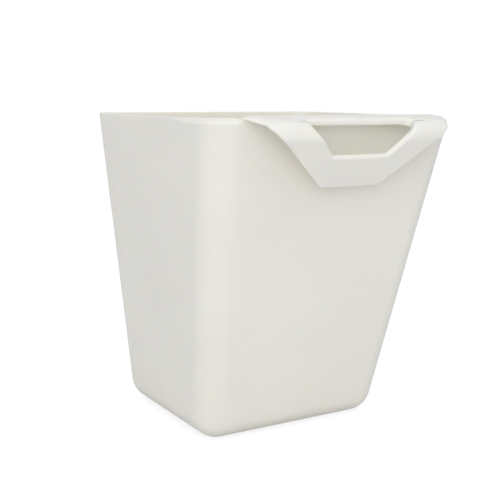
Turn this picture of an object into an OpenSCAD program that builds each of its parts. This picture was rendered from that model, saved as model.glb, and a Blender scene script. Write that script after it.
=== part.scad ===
// Open-top waste bin with a folded hook handle on its front rim.
// Millimetres, +Z up. The origin is the centre of the flat base.
// The front, where the handle is, faces -Y. The part is symmetric about X = 0.

/* [Rim] */
// Width of the rim, left to right
rim_width = 260; // [200:1:320]
// Depth of the rim, front to back
rim_depth = 250; // [220:1:300]
// How far the middle of the rim stands forward of the middle of the base
rim_forward = 31; // [10:1:45]
// Radius of the upright corners at the rim
rim_corner_r = 26.5; // [18:0.5:40]

/* [Body] */
// Height of the rim above the floor
bin_height = 297; // [220:1:360]
// Width of the flat part of the base
flat_width = 151; // [110:1:180]
// Depth of the flat part of the base
flat_depth = 128; // [100:1:150]
// Radius of the rounded base edge and of the lower corners
base_r = 25; // [12:1:30]
// Thickness of the walls and of the base
wall = 2.6; // [2:0.1:4]

/* [Handle sheet] */
// Thickness of the handle sheet
sheet = 3; // [2:0.1:4]
// How far the handle stands out from the rim
reach = 29.4; // [24:0.2:40]
// Fall of the top face, degrees below level
top_fall = 10; // [4:1:16]
// Outer radius of the round front bend, from the top face over to the lower face
front_bend_r = 13; // [8:0.5:13]
// Depth below the rim at which the front face folds back
fold_drop = 17; // [14:0.5:22]
// Angle by which the lower face leans back to the wall
lean_back = 30; // [20:1:34]
// Depth of the handle's lower edge below the rim
handle_drop = 58; // [48:1:66]
// Depth of the tongue that grips the inside of the front wall
tongue_drop = 26; // [15:1:40]
// Half of the tongue's width
tongue_half = 92; // [40:1:96]

/* [Handle outline] */
// Half of the handle's width where it leaves the rim
root_half = 103; // [80:1:103]
// Half of its width at the front bend
bend_half = 92; // [76:1:96]
// Half of its width at the fold
fold_half = 81; // [64:1:84]
// Half of its width at the lower edge
foot_half = 30; // [20:1:50]
// Radius of the two lower corners
foot_r = 8; // [2:0.5:10]

/* [Finger opening] */
// How far in front of the rim the opening starts, on the top face
slot_back = 16; // [12:0.5:20]
// Depth below the rim at which the opening starts to narrow
slot_shoulder = 2.5; // [1:0.5:6]
// Depth of the opening's lower edge below the rim
slot_bottom = 31.5; // [26:0.5:36]
// Half of the opening's width above its shoulder
slot_top_half = 57; // [44:1:60]
// Half of the opening's width at its lower edge
slot_bottom_half = 28; // [18:1:34]
// Radius of the opening's upper corners, on the top face
slot_top_r = 8; // [3:0.5:10]
// Radius of the opening's lower corners
slot_foot_r = 5; // [3:0.5:8]
// Depth of the return flange behind the opening's edge
flange_depth = 6; // [4:0.5:7]
// Thickness of the return flange
flange_wall = 2.4; // [1.6:0.1:4]

/* [Hidden] */
$fn = 64;
eps = 0.6;                                  // height of the rim's straight band
hull_fn = 32;
clear = 0.3;                                // gap between tongue and wall
front_y = -rim_forward - rim_depth / 2;     // outer face of the front wall, at the rim
back_y = -rim_forward + rim_depth / 2;
// Run of the front wall toward the base, mm per mm of height
front_run = (-flat_depth / 2 - front_y - base_r) / (bin_height - base_r);
front_lean = atan(front_run);
bin_colour = [0.93, 0.93, 0.91];

// Stations of the handle's section: u is outward from the rim, v is up from the rim.
saddle = wall + 0.6;                        // level stretch that sits on the rim
knee_u = 0.6;
// Where the falling top face would meet the upright front face
brow_v = sheet - (reach - knee_u) * tan(top_fall);
foot_u = reach - (handle_drop - fold_drop) * tan(lean_back);
flare_run = 24;                             // reach over which the root flare dies away

// Points of an arc round centre c, from angle a0 to angle a1.
function arc(c, r, a0, a1, steps = 12) =
    [for (i = [0 : steps])
        let (a = a0 + (a1 - a0) * i / steps)
        [c[0] + r * cos(a), c[1] + r * sin(a)]];

// A quarter-round dish corner that stands on z = 0.
module foot_corner(r) {
    rotate_extrude($fn = hull_fn)
        polygon(concat([[0, r]], [for (a = [0 : 9 : 90]) [r * sin(a), r - r * cos(a)]]));
}

// Solid tapered tub, shrunk on every side by inset.
module tub(inset, top_z) {
    hull() {
        for (sx = [-1, 1]) {
            for (sy = [-1, 1]) {
                translate([sx * flat_width / 2, sy * flat_depth / 2, inset])
                    foot_corner(base_r - inset);
                translate([
                    sx * (rim_width / 2 - rim_corner_r),
                    (sy > 0 ? back_y - rim_corner_r : front_y + rim_corner_r),
                    top_z - eps
                ])
                    cylinder(r = rim_corner_r - inset, h = eps, $fn = hull_fn);
            }
        }
    }
}

// Tapered shell with rounded base edges, open at the rim.
module bin_body() {
    color(bin_colour)
    difference() {
        tub(0, bin_height);
        tub(wall, bin_height + eps / 2);
    }
}

// Outer line of the handle's section, from the rim outward and down to the lower edge.
// deeper moves the line inward, square to the sheet.
function section_line(deeper) =
    let (
        brow_r = front_bend_r - deeper,
        brow_c = [reach - front_bend_r,
                  brow_v + front_bend_r * tan(top_fall)
                      - front_bend_r / cos(top_fall)],
        fold_c = [reach - front_bend_r, -fold_drop + front_bend_r * tan(lean_back / 2)]
    )
    concat(
        [[knee_u - deeper * tan(top_fall / 2), sheet - deeper]],
        arc(brow_c, brow_r, 90 - top_fall, 0),
        arc(fold_c, front_bend_r - deeper, 0, -lean_back, 6),
        [[foot_u - deeper / cos(lean_back), -handle_drop]]
    );

// Reversed copy of a list of points.
function flip(points) = [for (i = [len(points) - 1 : -1 : 0]) points[i]];

// Sheet of the given thickness that follows the handle's section, swept along X.
module folded_sheet(thick, half) {
    outer = concat([[-saddle, sheet]], section_line(0));
    inner = concat([[-saddle, sheet - thick]], section_line(thick));
    translate([-half, front_y, bin_height])
        rotate([90, 0, 90])
            linear_extrude(height = 2 * half)
                mirror([1, 0])
                    polygon(concat(outer, flip(inner)));
}

// Tongue that runs down the inside of the front wall.
module tongue() {
    run = tan(front_lean);
    a = -wall - clear;
    translate([-tongue_half, front_y, bin_height])
        rotate([90, 0, 90])
            linear_extrude(height = 2 * tongue_half)
                mirror([1, 0])
                    polygon([
                        [a, sheet],
                        [a, 0],
                        [a - run * tongue_drop, -tongue_drop],
                        [a - run * tongue_drop - sheet, -tongue_drop],
                        [a - sheet, 0],
                        [a - 0.8 * sheet, 0.6 * sheet],
                        [a - 0.4 * sheet, 0.9 * sheet]
                    ]);
}

// Half of the handle's width at a reach of u from the rim: it flares into its root.
function plan_half(u) =
    bend_half + (root_half - bend_half) * (1 + cos(180 * min(1, max(0, u / flare_run)))) / 2;

// Plan outline: the handle narrows smoothly from its root to the front bend.
module plan_outline() {
    stations = [-12, for (t = [0 : 0.1 : 1]) flare_run * t, reach + 5];
    polygon(concat(
        [for (u = stations) [plan_half(u), u]],
        flip([for (u = stations) [-plan_half(u), u]])
    ));
}

// Front outline: the handle narrows in two straight steps to rounded lower corners.
module front_outline() {
    side = atan((fold_half - foot_half) / (handle_drop - fold_drop));
    turn = 90 - side;
    corner = [foot_half - foot_r * tan(turn / 2), -handle_drop + foot_r];
    corner_arc = arc(corner, foot_r, -side, -90, 6);
    polygon(concat(
        [[root_half, 10], [root_half, -2], [bend_half, -5], [fold_half, -fold_drop]],
        corner_arc,
        flip([for (p = corner_arc) [-p[0], p[1]]]),
        [[-fold_half, -fold_drop], [-bend_half, -5], [-root_half, -2], [-root_half, 10]]
    ));
}

// Front outline of the finger opening, open at the top, grown on every side by grow.
module slot_outline(grow) {
    r = slot_foot_r + grow;
    side = atan((slot_top_half - slot_bottom_half) / (slot_bottom - slot_shoulder));
    lower = [slot_bottom_half - slot_foot_r * tan((90 - side) / 2), -slot_bottom + slot_foot_r];
    shoulder = [slot_top_half + grow, -slot_shoulder - grow * tan(side / 2)];
    right = concat([[slot_top_half + grow, 10], shoulder], arc(lower, r, -side, -90, 6));
    polygon(concat(right, flip([for (p = right) [-p[0], p[1]]])));
}

// Plan outline of the finger opening, open at the front, grown on every side by grow.
module slot_plan(grow) {
    r = slot_top_r + grow;
    corner = [slot_top_half - slot_top_r, slot_back + slot_top_r];
    right = concat([[slot_top_half + grow, reach + 5]], arc(corner, r, 0, -90, 8));
    polygon(concat(right, flip([for (p = right) [-p[0], p[1]]])));
}

// Stands an X-Z outline upright through the whole depth of the handle.
module upright(depth) {
    translate([0, front_y + 20, bin_height])
        rotate([90, 0, 0])
            linear_extrude(height = depth)
                children();
}

// Stands a plan outline up through the whole height of the handle.
module plan_prism() {
    translate([0, front_y, bin_height - handle_drop - 10])
        mirror([0, 1, 0])
            linear_extrude(height = handle_drop + 20)
                children();
}

// Prism through the finger opening, which starts on the top face and ends in the lower face.
module slot_prism(grow) {
    intersection() {
        upright(reach + 30)
            slot_outline(grow);
        plan_prism()
            slot_plan(grow);
    }
}

// Folded hook with a finger opening; it sits over the front rim.
module hook_handle() {
    color(bin_colour)
    union() {
        tongue();
        difference() {
            intersection() {
                union() {
                    folded_sheet(sheet, root_half);
                    intersection() {
                        folded_sheet(flange_depth, slot_top_half + 10);
                        slot_prism(flange_wall);
                    }
                }
                upright(reach + 30)
                    front_outline();
                plan_prism()
                    plan_outline();
            }
            slot_prism(0);
        }
    }
}

bin_body();
hook_handle();
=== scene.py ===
"""Looks for the open-top waste bin with its folded hook handle.

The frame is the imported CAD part: metres, +Z up, the handle at -Y, symmetric about X = 0.
"""
import math

import bmesh
import bpy
from mathutils import Matrix, Vector


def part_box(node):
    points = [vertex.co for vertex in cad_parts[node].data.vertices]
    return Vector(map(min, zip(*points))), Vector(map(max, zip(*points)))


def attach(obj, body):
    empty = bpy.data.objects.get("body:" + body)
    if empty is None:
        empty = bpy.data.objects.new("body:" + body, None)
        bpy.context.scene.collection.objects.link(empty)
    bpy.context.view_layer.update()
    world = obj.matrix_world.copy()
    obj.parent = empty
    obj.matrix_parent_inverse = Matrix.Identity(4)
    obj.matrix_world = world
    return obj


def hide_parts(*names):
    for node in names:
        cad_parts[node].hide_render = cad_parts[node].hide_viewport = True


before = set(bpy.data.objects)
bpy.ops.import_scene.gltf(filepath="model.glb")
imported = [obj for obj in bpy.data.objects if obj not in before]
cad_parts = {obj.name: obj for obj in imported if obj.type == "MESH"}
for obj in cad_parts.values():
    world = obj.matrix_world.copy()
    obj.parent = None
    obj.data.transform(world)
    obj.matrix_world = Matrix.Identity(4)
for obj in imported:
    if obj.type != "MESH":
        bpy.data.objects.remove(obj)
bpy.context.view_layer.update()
MM = 0.001

# ---------------------------------------------------------------- sizes, from the frame
body_lo, body_hi = (Vector(c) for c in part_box("bin_body"))
hook_lo, hook_hi = (Vector(c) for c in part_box("hook_handle"))
RIM_Z = body_hi.z
FRONT_Y, BACK_Y = body_lo.y, body_hi.y
HALF_W = body_hi.x
SHEET = hook_hi.z - RIM_Z                # thickness of the handle sheet
REACH = FRONT_Y - hook_lo.y              # how far the handle stands out
DROP = RIM_Z - hook_lo.z                 # depth of the handle's lower edge
WALL = 2.6 * MM
RIM_R = 26.5 * MM                        # upright corners at the rim
BASE_R = 25 * MM                         # rounded base edge
FLAT_X, FLAT_Y = 75.5 * MM, 64 * MM      # half sizes of the flat base

UP = Vector((0, 0, 1))


def smooth(t):
    """Eases t from 0 to 1."""
    t = min(1.0, max(0.0, t))
    return t * t * (3 - 2 * t)


def mix(a, b, t):
    return a + (b - a) * t


# ---------------------------------------------------------------- meshes
def grid_faces(rows, cols, closed, first=0):
    """Quads of a grid of rows x cols vertices, numbered row by row from first."""
    wrap = cols if closed else cols - 1
    return [
        (first + r * cols + c, first + r * cols + (c + 1) % cols,
         first + (r + 1) * cols + (c + 1) % cols, first + (r + 1) * cols + c)
        for r in range(rows - 1) for c in range(wrap)
    ]


def make_object(name, verts, faces, node, material):
    mesh = bpy.data.meshes.new(name)
    mesh.from_pydata([tuple(v) for v in verts], [], faces)
    mesh.validate()
    mesh.polygons.foreach_set("use_smooth", [True] * len(mesh.polygons))
    obj = bpy.data.objects.new(name, mesh)
    bpy.context.scene.collection.objects.link(obj)
    mesh.materials.append(material)
    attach(obj, "root")
    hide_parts(node)
    return obj


# ---------------------------------------------------------------- the bin's shell
CORNER_STEPS = 20
SIDE_STEPS = 40
ARC_ROWS = 12
WALL_ROWS = 16


def shell_stations():
    """Points round the shell: (lower centre, upper centre, outward direction)."""
    signs = ((1, 1), (-1, 1), (-1, -1), (1, -1))
    corners = []
    for k, (sx, sy) in enumerate(signs):
        low = Vector((sx * FLAT_X, sy * FLAT_Y, 0))
        edge_y = BACK_Y - RIM_R if sy > 0 else FRONT_Y + RIM_R
        high = Vector((sx * (HALF_W - RIM_R), edge_y, 0))
        corners.append((low, high, 90 * k))
    out = []
    for k, (low, high, start) in enumerate(corners):
        for i in range(CORNER_STEPS + 1):
            a = math.radians(start + 90 * i / CORNER_STEPS)
            out.append((low, high, Vector((math.cos(a), math.sin(a), 0))))
        next_low, next_high, _ = corners[(k + 1) % 4]
        a = math.radians(start + 90)
        n = Vector((math.cos(a), math.sin(a), 0))
        for i in range(1, SIDE_STEPS):
            t = i / SIDE_STEPS
            out.append((low.lerp(next_low, t), high.lerp(next_high, t), n))
    return out


def lean_at(low, high, n):
    """Angle by which the wall leans outward at a station, tangent to base edge and rim."""
    run = (high - low).dot(n) + RIM_R
    rise = RIM_Z - BASE_R
    return math.acos(BASE_R / math.hypot(run, rise)) - math.atan2(rise, run)


NEARLY_STRAIGHT = 0.005                  # half turn below which a corner isn't rounded, rad
TINY_STEP = 0.0003                       # spread of the points put at such a corner


def rounded(points, radii, steps=5):
    """Points of a polyline whose inner corners are circular arcs; 2-D tuples in and out."""
    out = [points[0]]
    for p, q, e, r in zip(points, points[1:], points[2:], radii):
        q = Vector(q)
        a = (Vector(p) - q).normalized()
        b = (Vector(e) - q).normalized()
        half = a.angle(b) / 2
        if math.pi / 2 - half < NEARLY_STRAIGHT:
            out += [tuple(q + (a if i < steps / 2 else b) * abs(2 * i / steps - 1) * TINY_STEP)
                    for i in range(steps + 1)]
            continue
        centre = q + (a + b).normalized() * r / math.sin(half)
        start = q + a * r / math.tan(half) - centre
        turn = math.pi - 2 * half
        if a.x * b.y - a.y * b.x > 0:
            turn = -turn
        for i in range(steps + 1):
            t = turn * i / steps
            out.append((centre.x + start.x * math.cos(t) - start.y * math.sin(t),
                        centre.y + start.x * math.sin(t) + start.y * math.cos(t)))
    out.append(points[-1])
    return out


SHOULDER_X, SHOULDER_X_RUN = 96 * MM, 10 * MM    # where it starts along the front, and fades in
SHOULDER_Y, SHOULDER_Y_RUN = 25 * MM, 70 * MM    # where it ends along the sides, and fades out


def shoulder_weight(top):
    """1 round the front corners, where the rim turns inward in a wide shoulder; 0 elsewhere."""
    if top.y < FRONT_Y + 0.5 * MM:
        return smooth((abs(top.x) - SHOULDER_X) / SHOULDER_X_RUN)
    return 1 - smooth((top.y - (FRONT_Y + SHOULDER_Y)) / SHOULDER_Y_RUN)


def rim_profile(w):
    """(inward, upward) points of the rim's section, from the outer wall over to the inner."""
    thin = [(0, -14), (0, 0), (2.6, 0), (2.6, -3), (2.6, -14)]
    wide = [(0, -14), (0, -3.8), (7.6, 1.1), (9.2, -1.4), (2.6, -14)]
    radii = [mix(a, b, w) for a, b in ((1.25, 2.4), (1.25, 1.6), (0.4, 1.4))]
    points = [(mix(a[0], b[0], w), mix(a[1], b[1], w)) for a, b in zip(thin, wide)]
    return [(i * MM, v * MM) for i, v in rounded(points, radii)]


def shell_mesh():
    stations = shell_stations()
    rings = []
    columns = []
    for low, high, n in stations:
        lean = lean_at(low, high, n)
        foot = low + UP * BASE_R
        wall_low = foot + (n * math.cos(lean) - UP * math.sin(lean)) * BASE_R
        wall_high = high + n * RIM_R + UP * RIM_Z
        slope = (wall_high - wall_low) / (wall_high.z - wall_low.z)
        profile = rim_profile(shoulder_weight(wall_high))
        column = []
        # base edge, from the flat base out to the wall
        for i in range(ARC_ROWS):
            a = (math.pi / 2 - lean) * i / ARC_ROWS
            column.append(foot + (n * math.sin(a) - UP * math.cos(a)) * BASE_R)
        rim_low = wall_high + slope * profile[0][1]
        for i in range(WALL_ROWS + 1):
            column.append(wall_low.lerp(rim_low, i / WALL_ROWS))
        for inward, rise in profile[1:-1]:
            column.append(wall_high + slope * rise - n * inward)
        # inner wall and inner base edge
        inner_r = BASE_R - WALL
        inner_low = foot + (n * math.cos(lean) - UP * math.sin(lean)) * inner_r
        inner_high = wall_high + slope * profile[-1][1] - n * profile[-1][0]
        for i in range(WALL_ROWS + 1):
            column.append(inner_high.lerp(inner_low, i / WALL_ROWS))
        for i in range(ARC_ROWS - 1, -1, -1):
            a = (math.pi / 2 - lean) * i / ARC_ROWS
            column.append(foot + (n * math.sin(a) - UP * math.cos(a)) * inner_r)
        columns.append(column)
    cols = len(columns)
    rows = len(columns[0])
    verts = [columns[c][r] for r in range(rows) for c in range(cols)]
    faces = grid_faces(rows, cols, True)
    return verts, faces, rows, cols


def cap_rings(verts, faces, ring, flip, steps=10):
    """Closes a ring of the shell with shrinking rings and a fan, for the flat base."""
    centre = sum((verts[i] for i in ring), Vector()) / len(ring)
    count = len(ring)
    last = list(ring)
    for k in range(1, steps):
        first = len(verts)
        verts.extend(verts[i].lerp(centre, k / steps) for i in ring)
        now = list(range(first, first + count))
        for i in range(count):
            j = (i + 1) % count
            quad = (last[i], last[j], now[j], now[i])
            faces.append(quad[::-1] if flip else quad)
        last = now
    verts.append(centre)
    tip = len(verts) - 1
    for i in range(count):
        tri = (last[i], last[(i + 1) % count], tip)
        faces.append(tri[::-1] if flip else tri)


# ---------------------------------------------------------------- materials
IOR, SPECULAR = 1.49, 0.45
GLOW_WEIGHT, GLOW_DEPTH = 0.4, 0.002                 # light that enters the plastic, and how far
GLOW_COLOUR = (1.0, 0.8, 0.5)
ROUGH_LOW, ROUGH_HIGH = 0.40, 0.50
CLOUD_SHADE = 0.965                                  # darker clouds in the base colour
DUST_TINT = (0.99, 0.975, 0.94)
DUST_TOP = 0.07                                      # height at which the dust has gone
GRAIN_SCALE = 1500


def moulded_plastic(name, base, dirt):
    """White moulded plastic: fine grain, faint flow marks, uneven gloss and low dust."""
    mat = bpy.data.materials.new(name)
    mat.use_nodes = True
    nodes, links = mat.node_tree.nodes, mat.node_tree.links
    nodes.clear()
    out = nodes.new("ShaderNodeOutputMaterial")
    bsdf = nodes.new("ShaderNodeBsdfPrincipled")
    links.new(bsdf.outputs["BSDF"], out.inputs["Surface"])
    bsdf.inputs["IOR"].default_value = IOR
    bsdf.inputs["Specular IOR Level"].default_value = SPECULAR
    bsdf.inputs["Subsurface Weight"].default_value = GLOW_WEIGHT
    bsdf.inputs["Subsurface Radius"].default_value = GLOW_COLOUR
    bsdf.inputs["Subsurface Scale"].default_value = GLOW_DEPTH
    place = nodes.new("ShaderNodeTexCoord")

    def noise(scale, detail, rough=0.5):
        n = nodes.new("ShaderNodeTexNoise")
        n.inputs["Scale"].default_value = scale
        n.inputs["Detail"].default_value = detail
        n.inputs["Roughness"].default_value = rough
        links.new(place.outputs["Object"], n.inputs["Vector"])
        return n.outputs["Fac"]

    def spread(value, low, high, start=0.3, end=0.7):
        m = nodes.new("ShaderNodeMapRange")
        m.inputs["From Min"].default_value = start
        m.inputs["From Max"].default_value = end
        m.inputs["To Min"].default_value = low
        m.inputs["To Max"].default_value = high
        links.new(value, m.inputs["Value"])
        return m.outputs["Result"]

    def blend(fac, a, b):
        m = nodes.new("ShaderNodeMix")
        m.data_type = "RGBA"
        links.new(fac, m.inputs["Factor"])
        for socket, colour in ((m.inputs["A"], a), (m.inputs["B"], b)):
            if isinstance(colour, tuple):
                socket.default_value = (*colour, 1)
            else:
                links.new(colour, socket)
        return m.outputs["Result"]

    shade = tuple(c * CLOUD_SHADE for c in base)
    warm = tuple(c * t for c, t in zip(base, DUST_TINT))
    cloud = blend(spread(noise(9, 4), 0, 1), base, shade)
    # patches of dust low on the object
    split = nodes.new("ShaderNodeSeparateXYZ")
    links.new(place.outputs["Object"], split.inputs["Vector"])
    low = spread(split.outputs["Z"], 1, 0, 0.0, DUST_TOP)
    patch = nodes.new("ShaderNodeMath")
    patch.operation = "MULTIPLY"
    links.new(low, patch.inputs[0])
    links.new(spread(noise(34, 6, 0.6), 0, dirt), patch.inputs[1])
    links.new(blend(patch.outputs["Value"], cloud, warm), bsdf.inputs["Base Color"])
    links.new(spread(noise(22, 5, 0.6), ROUGH_LOW, ROUGH_HIGH),
              bsdf.inputs["Roughness"])

    fine = nodes.new("ShaderNodeBump")
    fine.inputs["Strength"].default_value = 0.16
    fine.inputs["Distance"].default_value = 0.00012
    links.new(noise(GRAIN_SCALE, 3, 0.6), fine.inputs["Height"])
    wave = nodes.new("ShaderNodeBump")
    wave.inputs["Strength"].default_value = 0.10
    wave.inputs["Distance"].default_value = 0.0008
    links.new(noise(14, 1), wave.inputs["Height"])
    links.new(wave.outputs["Normal"], fine.inputs["Normal"])
    links.new(fine.outputs["Normal"], bsdf.inputs["Normal"])
    return mat


# ---------------------------------------------------------------- the handle's section
TOP_FALL = math.radians(10)
LEAN_BACK = math.radians(30)
FOLD_DROP = 17 * MM
BEND_R = 13 * MM
KNEE = 0.6 * MM                          # reach at which the top face starts to fall
SADDLE_R, KNEE_R = 2.9 * MM, 14 * MM     # bends over the tongue and at the knee
TONGUE_GAP = 0.3 * MM
TONGUE_DROP = 26 * MM
CROWN = SHEET - 0.4 * MM                 # height of the top face over the rim
FRONT_RUN = math.tan(lean_at(Vector((0, -FLAT_Y, 0)), Vector((0, FRONT_Y + RIM_R, 0)),
                             Vector((0, -1, 0))))


def section_path():
    """Dense (u, v) points of the sheet's outer face, from the tongue over to the foot.

    u is outward from the front of the rim and v is up from the rim.
    """
    back = -(WALL + TONGUE_GAP + SHEET)
    control = [
        (back - FRONT_RUN * TONGUE_DROP, -TONGUE_DROP),
        (back + FRONT_RUN * CROWN, CROWN),
        (KNEE, CROWN),
        (REACH, SHEET - (REACH - KNEE) * math.tan(TOP_FALL)),
        (REACH, -FOLD_DROP),
        (REACH - (DROP - FOLD_DROP) * math.tan(LEAN_BACK), -DROP),
    ]
    radii = [SADDLE_R, KNEE_R, BEND_R, BEND_R]
    coarse = rounded(control, radii, 24)
    dense = []
    for a, b in zip(coarse, coarse[1:]):
        steps = max(1, int(math.dist(a, b) / (0.25 * MM)))
        dense.extend(tuple(Vector(a).lerp(Vector(b), i / steps)) for i in range(steps))
    dense.append(coarse[-1])
    return dense


PATH = section_path()
LENGTHS = [0.0]
for p, q in zip(PATH, PATH[1:]):
    LENGTHS.append(LENGTHS[-1] + math.dist(p, q))
PATH_END = LENGTHS[-1]


def place_of(value, axis, after=0.0):
    """Length along the path where it first reaches a u (axis 0) or a v (axis 1)."""
    for i in range(1, len(PATH)):
        if LENGTHS[i] > after:
            a, b = PATH[i - 1][axis], PATH[i][axis]
            if (a - value) * (b - value) <= 0 and a != b:
                return mix(LENGTHS[i - 1], LENGTHS[i], (value - a) / (b - a))
    raise ValueError("the handle's section doesn't reach there")


def on_path(s):
    """(u, v) and unit outward normal at a length along the path."""
    s = min(max(s, 0.0), PATH_END)
    lo, hi = 0, len(LENGTHS) - 1
    while hi - lo > 1:
        mid = (lo + hi) // 2
        if LENGTHS[mid] <= s:
            lo = mid
        else:
            hi = mid
    t = (s - LENGTHS[lo]) / (LENGTHS[hi] - LENGTHS[lo])
    spot = Vector(PATH[lo]).lerp(Vector(PATH[hi]), t)
    before = Vector(PATH[max(lo - 3, 0)])
    after = Vector(PATH[min(hi + 3, len(PATH) - 1)])
    run = (after - before).normalized()
    return spot, Vector((-run.y, run.x))


ROOT_HALF, BEND_HALF, FOLD_HALF, FOOT_HALF = (v * MM for v in (103, 92.8, 81.6, 30))
FOOT_R = 8 * MM                                      # lower corners
TONGUE_HALF = 92 * MM
FLARE_RUN = 24 * MM
S_SADDLE = place_of(CROWN * 0.98, 1)                 # top of the tongue
S_KNEE = place_of(KNEE, 0)
S_JOIN = place_of(8 * MM, 0, S_KNEE)                 # where the plain grid meets the opening's
BROW_V = -5 * MM                                     # where the sides start to draw in
BROW_SOFT = 1.8 * MM                                 # how softly they do


def half_width(s):
    """Half of the handle's width at a length along its section."""
    if s < S_KNEE:
        return mix(TONGUE_HALF, ROOT_HALF, smooth((s - S_SADDLE + 2 * MM) / (6 * MM)))
    u, v = on_path(s)[0]
    if v > -FOLD_DROP:
        flare = (1 + math.cos(math.pi * min(1, u / FLARE_RUN))) / 2
        past = BROW_SOFT * math.log1p(math.exp((BROW_V - v) / BROW_SOFT))
        return (BEND_HALF + (ROOT_HALF - BEND_HALF) * flare
                - (BEND_HALF - FOLD_HALF) * past / (BROW_V + FOLD_DROP))
    return mix(FOLD_HALF, FOOT_HALF, (-FOLD_DROP - v) / (DROP - FOLD_DROP))


TURN_MOST, TURN_BAND = 2.1 * MM, 11 * MM             # how deep the side edges turn in, how wide
TURN_RISE = 20 * MM                                  # length from the knee over which it grows
TURN_DROP, TURN_DROP_RUN, TURN_LOST = 25 * MM, 14 * MM, 0.6      # then it loses this share
TURN_END, TURN_END_RUN = 40 * MM, 36 * MM            # and then dies away


def edge_turn(x, s):
    """Depth by which the sheet turns inward near its free side edges."""
    out = s - S_KNEE
    most = TURN_MOST * smooth(out / TURN_RISE)
    most *= 1 - TURN_LOST * smooth((out - TURN_DROP) / TURN_DROP_RUN)
    most *= 1 - smooth((out - TURN_END) / TURN_END_RUN)
    near = max(0.0, 1 - max(0.0, half_width(s) - abs(x)) / TURN_BAND)
    return most * near * near


END_X, END_X_RUN = 93 * MM, 10 * MM                  # where the root's ends start to settle
END_U, END_U_RUN = 1 * MM, 12 * MM                   # and the reach over which they recover
END_SINK, END_THIN = 1.7 * MM, 0.55                  # how far they sink, and the share they thin


def skin_point(x, s, depth):
    """Point of the handle at x and s, depth below its outer face."""
    spot, normal = on_path(s)
    depth += edge_turn(x, s)
    # the root's ends thin out and settle onto the rim's shoulder
    ends = smooth((abs(x) - END_X) / END_X_RUN) * (1 - smooth((spot.x - END_U) / END_U_RUN))
    sink = ends * END_SINK
    keep = 1 - ends * END_THIN
    spot = spot - normal * (depth * keep + sink)
    return Vector((x, FRONT_Y - spot.x, RIM_Z + spot.y))


# ---------------------------------------------------------------- the handle's mesh
TOP_STEPS, EDGE_STEPS, FOOT_STEPS, RING_STEPS = 96, 72, 40, 36
ROLL_R = 3 * MM                                      # roll round the finger opening
SLOT_BACK = 13 * MM                                  # reach at which the roll starts
SLOT_V = (-2.5 * MM, -34.1 * MM)                     # shoulder and lower edge of the opening
SLOT_TOP_R, SLOT_FOOT_R = 11 * MM, 7 * MM
SHOULDER_R, SIDE_R = 4 * MM, 20 * MM                 # its turn below the top corner, its sides
SLOT_SIDE = 63.5 * MM                                # half width of the opening's sides at v = 0
SIDE_STATIONS = (-8 * MM, -13 * MM, -19 * MM, -26 * MM)          # v of points along its sides
WIDE_ROLL = 6.4 * MM                                 # roll on the upper part of the sides
ROLL_V, ROLL_V_RUN = -4 * MM, 9 * MM                 # where it starts to narrow, and over what
FLANGE_DEEP, FLANGE_SHALLOW = 7.5 * MM, 4.7 * MM     # at the top corners and at the foot
FLANGE_TOP = 5.9 * MM                                # along the top edge


def roll_at(s, sideways):
    """Width of the roll, which is broader on the upper part of the opening's sides."""
    v = on_path(s)[0].y
    return mix(ROLL_R, WIDE_ROLL, sideways ** 2 * (1 - smooth((ROLL_V - v) / ROLL_V_RUN)))


def flange_at(x, s):
    """Depth of the return flange behind the opening's edge."""
    u, v = on_path(s)[0]
    foot = smooth((-9 * MM - v) / (13 * MM))
    top = smooth((20 * MM - u) / (5 * MM)) * (1 - smooth((abs(x) - 44 * MM) / (10 * MM)))
    deep = mix(FLANGE_DEEP, FLANGE_TOP, top if v > -6 * MM else 0)
    return mix(deep, FLANGE_SHALLOW, foot)


def resample(points, count):
    """count + 1 evenly spaced points along a polyline."""
    marks = [0.0]
    for a, b in zip(points, points[1:]):
        marks.append(marks[-1] + (b - a).length)
    out = []
    k = 0
    for i in range(count + 1):
        want = marks[-1] * i / count
        while k < len(points) - 2 and marks[k + 1] < want:
            k += 1
        span = marks[k + 1] - marks[k]
        out.append(points[k].lerp(points[k + 1], (want - marks[k]) / span if span else 0))
    return out


def loop_from_parts(top, right, foot):
    """Closed loop: the top from left to right, down the right, the foot, up the left."""
    left = [Vector((-p.x, p.y)) for p in reversed(right)]
    return top[:-1] + right[:-1] + foot[:-1] + left[:-1]


def slot_loop():
    """Where the roll of the finger opening starts, in (x, s), parted in mid-corner."""
    s_top = place_of(SLOT_BACK, 0, S_KNEE)
    side = [(SLOT_SIDE + v, place_of(v, 1, S_JOIN))
            for v in (SLOT_V[0], *SIDE_STATIONS, SLOT_V[1])]
    corner = [(0, s_top), (side[0][0], s_top)] + side + [(0, side[-1][1])]
    radii = [SLOT_TOP_R, SHOULDER_R] + [SIDE_R] * (len(side) - 2) + [SLOT_FOOT_R]
    steps = 16
    line = [Vector(p) for p in rounded(corner, radii, steps)]
    first_mid = 1 + steps // 2
    second_mid = len(line) - 2 - steps // 2
    top = line[:first_mid + 1]
    top = [Vector((-p.x, p.y)) for p in reversed(top[1:])] + top
    right = line[first_mid:second_mid + 1]
    foot = line[second_mid:]
    foot = foot + [Vector((-p.x, p.y)) for p in reversed(foot[:-1])]
    return loop_from_parts(resample(top, TOP_STEPS), resample(right, EDGE_STEPS),
                           resample(foot, FOOT_STEPS))


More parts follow.
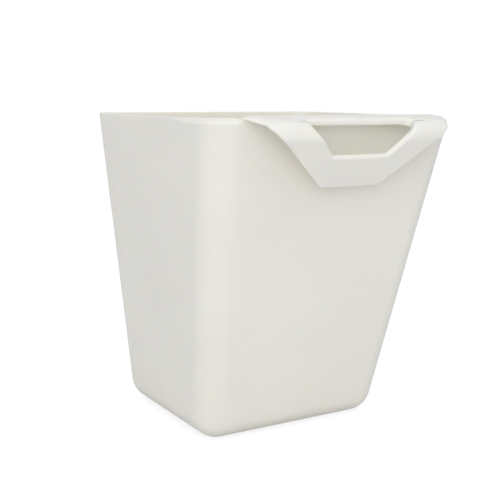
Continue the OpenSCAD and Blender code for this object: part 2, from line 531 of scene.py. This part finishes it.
def free_edge():
    """Outline of the handle beyond the join: down the right side, the foot, up the left."""
    count, cut = 90, 6                               # the last points give way to the round
    side = [Vector((half_width(s), s)) for s in
            (mix(S_JOIN, PATH_END, i / count) for i in range(count + 1))]
    steps = 16
    tail = [Vector(p) for p in rounded([tuple(side[-cut]), (FOOT_HALF, PATH_END),
                                        (0, PATH_END)], [FOOT_R], steps)]
    side = [p for p in side[:-cut] if p.y < tail[1].y]
    middle = 1 + steps // 2
    right = resample(side + tail[1:middle + 1], EDGE_STEPS)
    foot = resample(tail[middle:] + [Vector((-p.x, p.y)) for p in reversed(tail[middle:-1])],
                    FOOT_STEPS)
    return right + foot[1:] + [Vector((-p.x, p.y)) for p in reversed(right[:-1])]


def directions(line, closed):
    """Unit directions to the left of a line's run: away from the opening."""
    out = []
    last = len(line) - 1
    for i in range(len(line)):
        before = line[i - 1] if closed or i > 0 else line[i]
        after = line[(i + 1) % len(line)] if closed or i < last else line[i]
        run = (after - before).normalized()
        out.append(Vector((run.y, -run.x)))
    return out


EDGE_ROUND = 7                                       # points round the sheet's free edge
HALF_SHEET = SHEET / 2
EDGE_BULGE = 1.1 * MM                                # how far the edge's round stands out
FLANGE_WALL = 2.4 * MM


def flange_profile(deep, roll):
    """(outward, depth) points from the clear opening: roll, return flange, inner fillet."""
    tip, fillet = FLANGE_WALL / 2, 0.5 * MM
    points = [(roll * (1 - math.sin(a)), ROLL_R * (1 - math.cos(a)))
              for a in (math.pi / 2 * i / 10 for i in range(1, 11))]
    points += [(0, mix(ROLL_R, deep - tip, i / 3)) for i in (1, 2)]
    points += [(tip * (1 - math.cos(a)), deep - tip + tip * math.sin(a))
               for a in (math.pi * i / 8 for i in range(9))]
    points += [(FLANGE_WALL + fillet * (1 - math.cos(a)), SHEET + fillet * (1 - math.sin(a)))
               for a in (math.pi / 2 * i / 4 for i in range(5))]
    return points


def lip_rows():
    """Loops of (x, s, depth) from the outer face, through the opening, to the inner face."""
    hole = slot_loop()
    away = directions(hole, True)
    edge = free_edge()
    edge_away = directions(edge, False)
    base = [p - d * EDGE_BULGE for p, d in zip(edge, edge_away)]
    top_half = base[0].x
    bar = [Vector((mix(-top_half, top_half, i / TOP_STEPS), S_JOIN)) for i in range(TOP_STEPS)]
    outline = bar + base[:-1]
    spread = [Vector((0, 0))] * TOP_STEPS + edge_away[:-1]
    spread[0] = edge_away[-1]
    rows = []
    for k in range(RING_STEPS, -1, -1):
        rows.append([(*h.lerp(o, k / RING_STEPS), 0.0) for h, o in zip(hole, outline)])
    profiles = []
    for h, d in zip(hole, away):
        roll = roll_at(h.y, abs(d.x))
        clear = h - d * roll
        profiles.append([(*(clear + d * out), depth)
                         for out, depth in flange_profile(flange_at(*clear), roll)])
    rows += [list(row) for row in zip(*profiles)]
    inner_start = [Vector(row[:2]) for row in rows[-1]]
    for k in range(1, RING_STEPS + 1):
        rows.append([(*h.lerp(o, k / RING_STEPS), SHEET) for h, o in zip(inner_start, outline)])
    inner_row = len(rows) - 1
    for k in range(EDGE_ROUND, 0, -1):
        a = math.pi * k / (EDGE_ROUND + 1)
        rows.append([(*(o + d * EDGE_BULGE * math.sin(a)), HALF_SHEET * (1 - math.cos(a)))
                     for o, d in zip(outline, spread)])
    return rows, inner_row


def saddle_ring(s):
    """Closed section of the saddle or tongue at a length along the path, as (x, depth)."""
    foot = 6 * MM                                    # rounding of the tongue's lower corners
    wide = half_width(s) - foot * (1 - math.sqrt(1 - max(0, 1 - s / foot) ** 2))
    thin = HALF_SHEET * math.sqrt(1 - max(0, 1 - s / HALF_SHEET) ** 2)
    flat = wide - EDGE_BULGE
    arcs = [math.pi * r / (EDGE_ROUND + 1) for r in range(1, EDGE_ROUND + 1)]
    xs = [mix(-flat, flat, i / TOP_STEPS) for i in range(TOP_STEPS + 1)]
    ring = [(x, HALF_SHEET - thin) for x in xs]
    ring += [(flat + EDGE_BULGE * math.sin(a), HALF_SHEET - thin * math.cos(a)) for a in arcs]
    ring += [(-x, HALF_SHEET + thin) for x in xs]
    ring += [(-flat - EDGE_BULGE * math.sin(a), HALF_SHEET + thin * math.cos(a)) for a in arcs]
    return ring


def handle_solid():
    """The lip as rings round the finger opening, then the saddle and tongue swept back."""
    rows, inner_row = lip_rows()
    total, count = len(rows), len(rows[0])
    verts = [skin_point(*p) for row in rows for p in row]
    faces = []
    for r in range(total):
        for c in range(count):
            if r >= inner_row and c < TOP_STEPS:
                continue                             # open to the saddle here
            n, d = (r + 1) % total, (c + 1) % count
            faces.append((r * count + c, r * count + d, n * count + d, n * count + c))
    edge_rows = range(inner_row + 1, total)
    last = list(range(TOP_STEPS + 1))
    last += [r * count + TOP_STEPS for r in reversed(edge_rows)]
    last += [inner_row * count + c for c in range(TOP_STEPS, -1, -1)]
    last += [r * count for r in edge_rows]
    levels = 70
    for level in range(1, levels + 1):
        s = S_JOIN * (1 - level / levels)
        first = len(verts)
        verts += [skin_point(x, s, depth) for x, depth in saddle_ring(s)]
        now = list(range(first, len(verts)))
        for i in range(len(now)):
            j = (i + 1) % len(now)
            faces.append((last[j], last[i], now[i], now[j]))
        last = now
    return verts, faces


# ---------------------------------------------------------------- build the pieces
bin_white = moulded_plastic("bin_white", (0.925, 0.893, 0.783), 0.5)
hook_white = moulded_plastic("hook_white", (0.925, 0.895, 0.790), 0.0)

verts, faces, rows, cols = shell_mesh()
cap_rings(verts, faces, list(range(cols)), True)
cap_rings(verts, faces, [(rows - 1) * cols + c for c in range(cols)], False)
shell = make_object("bin_shell", verts, faces, "bin_body", bin_white)

verts, faces = handle_solid()
hook = make_object("hook_moulding", verts, faces, "hook_handle", hook_white)


def tidy_mesh(obj):
    """Merges doubled points and turns every face outward."""
    bm = bmesh.new()
    bm.from_mesh(obj.data)
    bmesh.ops.remove_doubles(bm, verts=bm.verts, dist=1e-6)
    bmesh.ops.delete(bm, geom=[v for v in bm.verts if not v.link_faces], context="VERTS")
    bmesh.ops.recalc_face_normals(bm, faces=bm.faces)
    open_edges = sum(1 for e in bm.edges if len(e.link_faces) != 2)
    print(obj.name, "faces", len(bm.faces), "open edges", open_edges)
    bm.to_mesh(obj.data)
    bm.free()


for piece in (shell, hook):
    tidy_mesh(piece)

# ---------------------------------------------------------------- floor, light, camera
scene = bpy.context.scene
scene.view_settings.view_transform = "Standard"


def flat_material(name, colour, rough):
    mat = bpy.data.materials.new(name)
    mat.use_nodes = True
    bsdf = mat.node_tree.nodes["Principled BSDF"]
    bsdf.inputs["Base Color"].default_value = (*colour, 1)
    bsdf.inputs["Roughness"].default_value = rough
    return mat


def glowing_material(name, colour, glow):
    """Matt white that also shines a little, like a lit sweep of paper."""
    mat = flat_material(name, (colour, colour, colour), 0.95)
    bsdf = mat.node_tree.nodes["Principled BSDF"]
    bsdf.inputs["Specular IOR Level"].default_value = 0
    bsdf.inputs["Emission Color"].default_value = (1, 1, 1, 1)
    bsdf.inputs["Emission Strength"].default_value = glow
    return mat


def stage_object(name, verts, faces, material, seen):
    """Part of the studio: either seen by the camera only, or lighting the object only."""
    mesh = bpy.data.meshes.new(name)
    mesh.from_pydata(verts, [], faces)
    obj = bpy.data.objects.new(name, mesh)
    scene.collection.objects.link(obj)
    mesh.materials.append(material)
    obj.visible_camera = seen
    obj.visible_diffuse = obj.visible_glossy = obj.visible_transmission = not seen
    obj.visible_shadow = not seen
    return obj


def square(half, z):
    return [(-half, -half, z), (half, -half, z), (half, half, z), (-half, half, z)]


SIZE = 20.0                                          # half width of the floor
FLOOR_COLOUR, FLOOR_GLOW, BOUNCE = 0.42, 0.73, 0.75
BOUNCE_Z, DOME_Z = -0.001, -0.01                     # just under the floor
RINGS, TURNS = 8, 48
DOME_R = SIZE * 0.98
stage_object("floor", square(SIZE, 0), [(0, 1, 2, 3)],
             glowing_material("floor_white", FLOOR_COLOUR, FLOOR_GLOW), True)
stage_object("floor_bounce", square(SIZE, BOUNCE_Z), [(0, 1, 2, 3)],
             flat_material("bounce_grey", (BOUNCE, BOUNCE, BOUNCE), 0.9), False)
dome = []
for r in range(RINGS):
    rise = math.pi / 2 * r / RINGS
    for t in range(TURNS):
        turn = 2 * math.pi * t / TURNS
        dome.append((DOME_R * math.cos(rise) * math.cos(turn),
                     DOME_R * math.cos(rise) * math.sin(turn), DOME_Z + DOME_R * math.sin(rise)))
dome.append((0, 0, DOME_R))
dome_faces = grid_faces(RINGS, TURNS, True)
dome_faces += [((RINGS - 1) * TURNS + t, (RINGS - 1) * TURNS + (t + 1) % TURNS, RINGS * TURNS)
               for t in range(TURNS)]
stage_object("backdrop", dome, dome_faces, glowing_material("backdrop_white", 0.0, 1.0), True)

DAYLIGHT = (0.965, 0.988, 1.065)                     # a touch cooler than the plastic
SKY = 0.69                                           # strength of the even light all round
LIGHT_TARGET = Vector((0, -0.03, 0.17))
LIGHT_DISTANCE = 2.5
world = bpy.data.worlds.new("studio")
world.use_nodes = True
world.node_tree.nodes["Background"].inputs["Color"].default_value = (*DAYLIGHT, 1)
world.node_tree.nodes["Background"].inputs["Strength"].default_value = SKY
scene.world = world


def softbox(name, azimuth, elevation, size, power):
    """Square area light aimed at the middle of the bin."""
    data = bpy.data.lights.new(name, "AREA")
    data.shape = "SQUARE"
    data.size = size
    data.energy = power
    data.color = DAYLIGHT
    obj = bpy.data.objects.new(name, data)
    a, e = math.radians(azimuth), math.radians(elevation)
    away = Vector((math.sin(a) * math.cos(e), -math.cos(a) * math.cos(e), math.sin(e)))
    obj.location = LIGHT_TARGET + away * LIGHT_DISTANCE
    obj.rotation_mode = "QUATERNION"
    obj.rotation_quaternion = (-away).to_track_quat("-Z", "Y")
    scene.collection.objects.link(obj)


softbox("key", azimuth=-35, elevation=20, size=1.4, power=15.5)
softbox("overhead", azimuth=-15, elevation=62, size=1.6, power=6.5)

cam_data = bpy.data.cameras.new("camera")
cam = bpy.data.objects.new("camera", cam_data)
scene.collection.objects.link(cam)
AZIMUTH, ELEVATION, ROLL = -31.27, 9.61, 0.42
DISTANCE, LEFT, RAISE = 0.917, 0.01593, 0.03473      # of the camera from its aim, and its shift
AIM_Z = 0.130
LENS, SENSOR = 66.79, 36
az, el, roll = (math.radians(v) for v in (AZIMUTH, ELEVATION, ROLL))
back = Vector((math.sin(az) * math.cos(el), -math.cos(az) * math.cos(el), math.sin(el)))
right = (-back).cross(UP).normalized()
up = right.cross(-back)
right, up = (right * math.cos(roll) + up * math.sin(roll),
             up * math.cos(roll) - right * math.sin(roll))
target = Vector((0, (FRONT_Y + BACK_Y) / 2, AIM_Z))
eye = target + back * DISTANCE - right * LEFT + up * RAISE
cam.matrix_world = Matrix((
    (right.x, up.x, back.x, eye.x),
    (right.y, up.y, back.y, eye.y),
    (right.z, up.z, back.z, eye.z),
    (0, 0, 0, 1),
))
cam_data.sensor_width = SENSOR
cam_data.lens = LENS
cam_data.clip_start, cam_data.clip_end = 0.01, 100
scene.camera = cam
